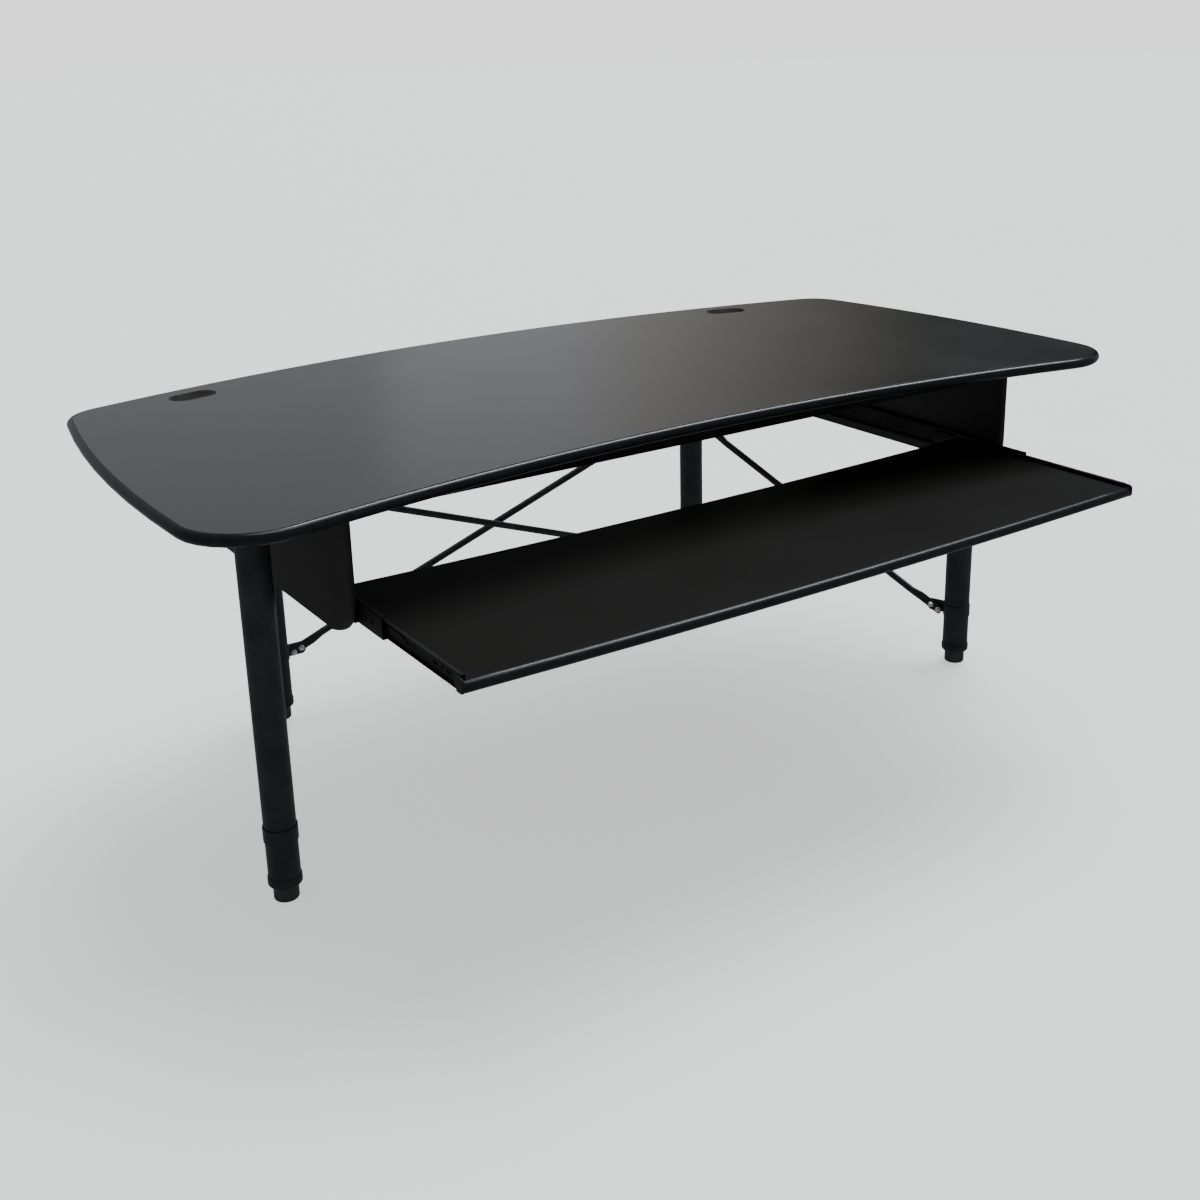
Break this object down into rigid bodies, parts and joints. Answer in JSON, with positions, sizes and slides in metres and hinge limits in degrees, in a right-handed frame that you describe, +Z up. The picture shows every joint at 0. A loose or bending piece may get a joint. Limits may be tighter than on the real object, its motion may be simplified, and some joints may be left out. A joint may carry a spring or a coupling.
{
  "type": "computer desk with keyboard tray",
  "caption": "Wide bow-shaped black desk on round braced legs, with side panels that carry a wide keyboard tray on telescopic slides.",
  "frame": {"origin": "middle of the footprint at floor level, with the tray drawn part way out as stored", "axes": "+Z up, +X to the right of a person sitting at the desk, -Y towards that person"},
  "size_m": [2.0082, 1.2832, 0.762],
  "materials": {
    "laminate": "satin black laminate on particle board",
    "edge_moulding": "smooth half-round black edging",
    "panel_laminate": "fine-textured black laminate on particle board",
    "tray_laminate": "fine-textured black laminate on particle board",
    "black_steel": "black powder coat",
    "leg_enamel": "satin black enamel",
    "slide_steel": "black electrophoretic coat on rolled steel",
    "ball_cage": "bright zinc",
    "zinc_steel": "bright zinc plate",
    "foot_plastic": "moulded black plastic"
  },
  "bodies": {
    "desk": {"tabletop_board": "laminate", "tabletop_edge": "edge_moulding", "side_panel_left": "panel_laminate", "panel_bracket_front_left": "black_steel", "panel_bracket_rear_left": "black_steel", "slide_outer_left": "slide_steel", "side_panel_right": "panel_laminate", "panel_bracket_front_right": "black_steel", "panel_bracket_rear_right": "black_steel", "slide_outer_right": "slide_steel", "front_rail": "black_steel", "leg_plate_front_left": "black_steel", "leg_tube_front_left": "leg_enamel", "leg_ferrule_front_left": "leg_enamel", "foot_nut_front_left": "zinc_steel", "leg_plate_front_right": "black_steel", "leg_tube_front_right": "leg_enamel", "leg_ferrule_front_right": "leg_enamel", "foot_nut_front_right": "zinc_steel", "leg_plate_rear_left": "black_steel", "leg_tube_rear_left": "leg_enamel", "leg_ferrule_rear_left": "leg_enamel", "foot_nut_rear_left": "zinc_steel", "leg_plate_rear_right": "black_steel", "leg_tube_rear_right": "leg_enamel", "leg_ferrule_rear_right": "leg_enamel", "foot_nut_rear_right": "zinc_steel", "collar_low_left": "leg_enamel", "collar_high_left": "leg_enamel", "rod_left": "leg_enamel", "collar_low_right": "leg_enamel", "collar_high_right": "leg_enamel", "rod_right": "leg_enamel", "collar_low_rear_a": "leg_enamel", "collar_high_rear_a": "leg_enamel", "rod_rear_a": "leg_enamel", "collar_low_rear_b": "leg_enamel", "collar_high_rear_b": "leg_enamel", "rod_rear_b": "leg_enamel"},
    "tray": {"tray_board": "tray_laminate", "tray_nose": "edge_moulding", "tray_end_cap_left": "foot_plastic", "tray_end_cap_right": "foot_plastic", "slide_inner_left": "slide_steel", "slide_inner_right": "slide_steel"},
    "slide_middle_left": {"slide_middle_left": "slide_steel"},
    "ball_cage_outer_left": {"ball_cage_outer_left": "ball_cage"},
    "ball_cage_inner_left": {"ball_cage_inner_left": "ball_cage"},
    "slide_middle_right": {"slide_middle_right": "slide_steel"},
    "ball_cage_outer_right": {"ball_cage_outer_right": "ball_cage"},
    "ball_cage_inner_right": {"ball_cage_inner_right": "ball_cage"},
    "foot_front_left": {"levelling_foot_front_left": "foot_plastic"},
    "foot_front_right": {"levelling_foot_front_right": "foot_plastic"},
    "foot_rear_left": {"levelling_foot_rear_left": "foot_plastic"},
    "foot_rear_right": {"levelling_foot_rear_right": "foot_plastic"}
  },
  "joints": [
    {"name": "tray_slide", "type": "slide", "parent": "desk", "child": "tray", "axis": [0, -1, 0], "range_m": [-0.335, 0.165]},
    {"name": "slide_middle_left_travel", "type": "slide", "parent": "desk", "child": "slide_middle_left", "axis": [0, -1, 0], "range_m": [-0.1675, 0.0825]},
    {"name": "ball_cage_outer_left_travel", "type": "slide", "parent": "desk", "child": "ball_cage_outer_left", "axis": [0, -1, 0], "range_m": [-0.08375, 0.04125]},
    {"name": "ball_cage_inner_left_travel", "type": "slide", "parent": "desk", "child": "ball_cage_inner_left", "axis": [0, -1, 0], "range_m": [-0.25125, 0.12375]},
    {"name": "slide_middle_right_travel", "type": "slide", "parent": "desk", "child": "slide_middle_right", "axis": [0, -1, 0], "range_m": [-0.1675, 0.0825]},
    {"name": "ball_cage_outer_right_travel", "type": "slide", "parent": "desk", "child": "ball_cage_outer_right", "axis": [0, -1, 0], "range_m": [-0.08375, 0.04125]},
    {"name": "ball_cage_inner_right_travel", "type": "slide", "parent": "desk", "child": "ball_cage_inner_right", "axis": [0, -1, 0], "range_m": [-0.25125, 0.12375]},
    {"name": "foot_front_left_screw", "type": "slide", "parent": "desk", "child": "foot_front_left", "axis": [0, 0, -1], "range_m": [0, 0.025]},
    {"name": "foot_front_right_screw", "type": "slide", "parent": "desk", "child": "foot_front_right", "axis": [0, 0, -1], "range_m": [0, 0.025]},
    {"name": "foot_rear_left_screw", "type": "slide", "parent": "desk", "child": "foot_rear_left", "axis": [0, 0, -1], "range_m": [0, 0.025]},
    {"name": "foot_rear_right_screw", "type": "slide", "parent": "desk", "child": "foot_rear_right", "axis": [0, 0, -1], "range_m": [0, 0.025]}
  ],
  "couplings": [
    {"joint": "slide_middle_left_travel", "follows": "tray_slide", "ratio": 0.5},
    {"joint": "ball_cage_outer_left_travel", "follows": "tray_slide", "ratio": 0.25},
    {"joint": "ball_cage_inner_left_travel", "follows": "tray_slide", "ratio": 0.75},
    {"joint": "slide_middle_right_travel", "follows": "tray_slide", "ratio": 0.5},
    {"joint": "ball_cage_outer_right_travel", "follows": "tray_slide", "ratio": 0.25},
    {"joint": "ball_cage_inner_right_travel", "follows": "tray_slide", "ratio": 0.75}
  ]
}
